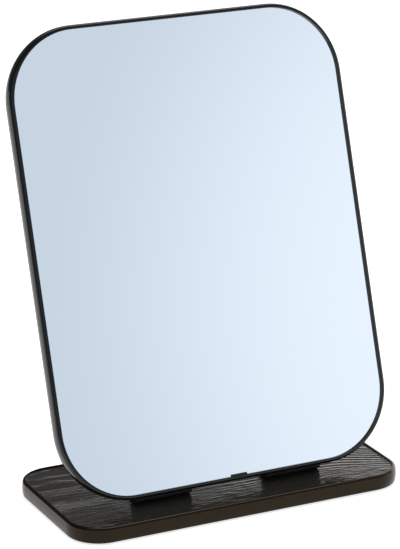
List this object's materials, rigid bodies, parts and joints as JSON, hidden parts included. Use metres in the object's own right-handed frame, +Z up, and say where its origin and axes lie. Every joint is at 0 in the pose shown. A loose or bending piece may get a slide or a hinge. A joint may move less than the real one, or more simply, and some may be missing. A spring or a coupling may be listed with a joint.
{
  "type": "tilting table mirror",
  "caption": "Rounded-rectangle table mirror in a thin black rim, tilting on friction hinges above a low, rounded, black wood-grain board base.",
  "frame": {"origin": "on the table, under the middle of the whole object at rest", "axes": "+Z up; the mirror faces -Y; +X is to the right of someone who looks into the mirror"},
  "size_m": [0.201, 0.1052, 0.2605],
  "materials": {
    "board": "raw fibreboard, sealed inside",
    "grain_facing": "black foil embossed with a wood grain, semi-gloss",
    "back_facing": "black foil with a fine grain, satin",
    "bottom_facing": "plain black foil, matt",
    "edge_strip": "extruded black plastic, semi-gloss",
    "clip": "thin spring steel, matt black",
    "pad": "matt",
    "mirror_glass": "silvered on its back face, polished",
    "tape": "white foam, double sided",
    "hinge_leaf": "black, satin",
    "hinge_pin": "riveted steel",
    "washer": "black nylon",
    "screw": "black oxide"
  },
  "bodies": {
    "base": {"base_core": "board", "base_top_facing": "grain_facing", "base_bottom_facing": "bottom_facing", "base_edge_strip": "edge_strip", "foot_pad_front_left": "pad", "foot_pad_front_right": "pad", "foot_pad_rear_left": "pad", "foot_pad_rear_right": "pad", "hinge_base_leaf_left": "hinge_leaf", "hinge_pin_left": "hinge_pin", "hinge_washer_left_inner": "washer", "hinge_washer_left_outer": "washer", "base_screw_left_inner": "screw", "base_screw_left_outer": "screw", "hinge_base_leaf_right": "hinge_leaf", "hinge_pin_right": "hinge_pin", "hinge_washer_right_inner": "washer", "hinge_washer_right_outer": "washer", "base_screw_right_inner": "screw", "base_screw_right_outer": "screw"},
    "mirror": {"mirror_glass": "mirror_glass", "mirror_tape_left": "tape", "mirror_tape_centre": "tape", "mirror_tape_right": "tape", "mirror_backing_board": "board", "mirror_back_facing": "back_facing", "mirror_edge_strip": "edge_strip", "mirror_strip_clip": "clip", "hinge_mirror_leaf_left": "hinge_leaf", "mirror_screw_left_inner": "screw", "mirror_screw_left_outer": "screw", "hinge_mirror_leaf_right": "hinge_leaf", "mirror_screw_right_inner": "screw", "mirror_screw_right_outer": "screw"}
  },
  "joints": [
    {"name": "mirror_tilt", "type": "hinge", "parent": "base", "child": "mirror", "pos_m": [0, -0.02541, 0.013], "axis": [1, 0, 0], "range_deg": [-75, 30]}
  ]
}
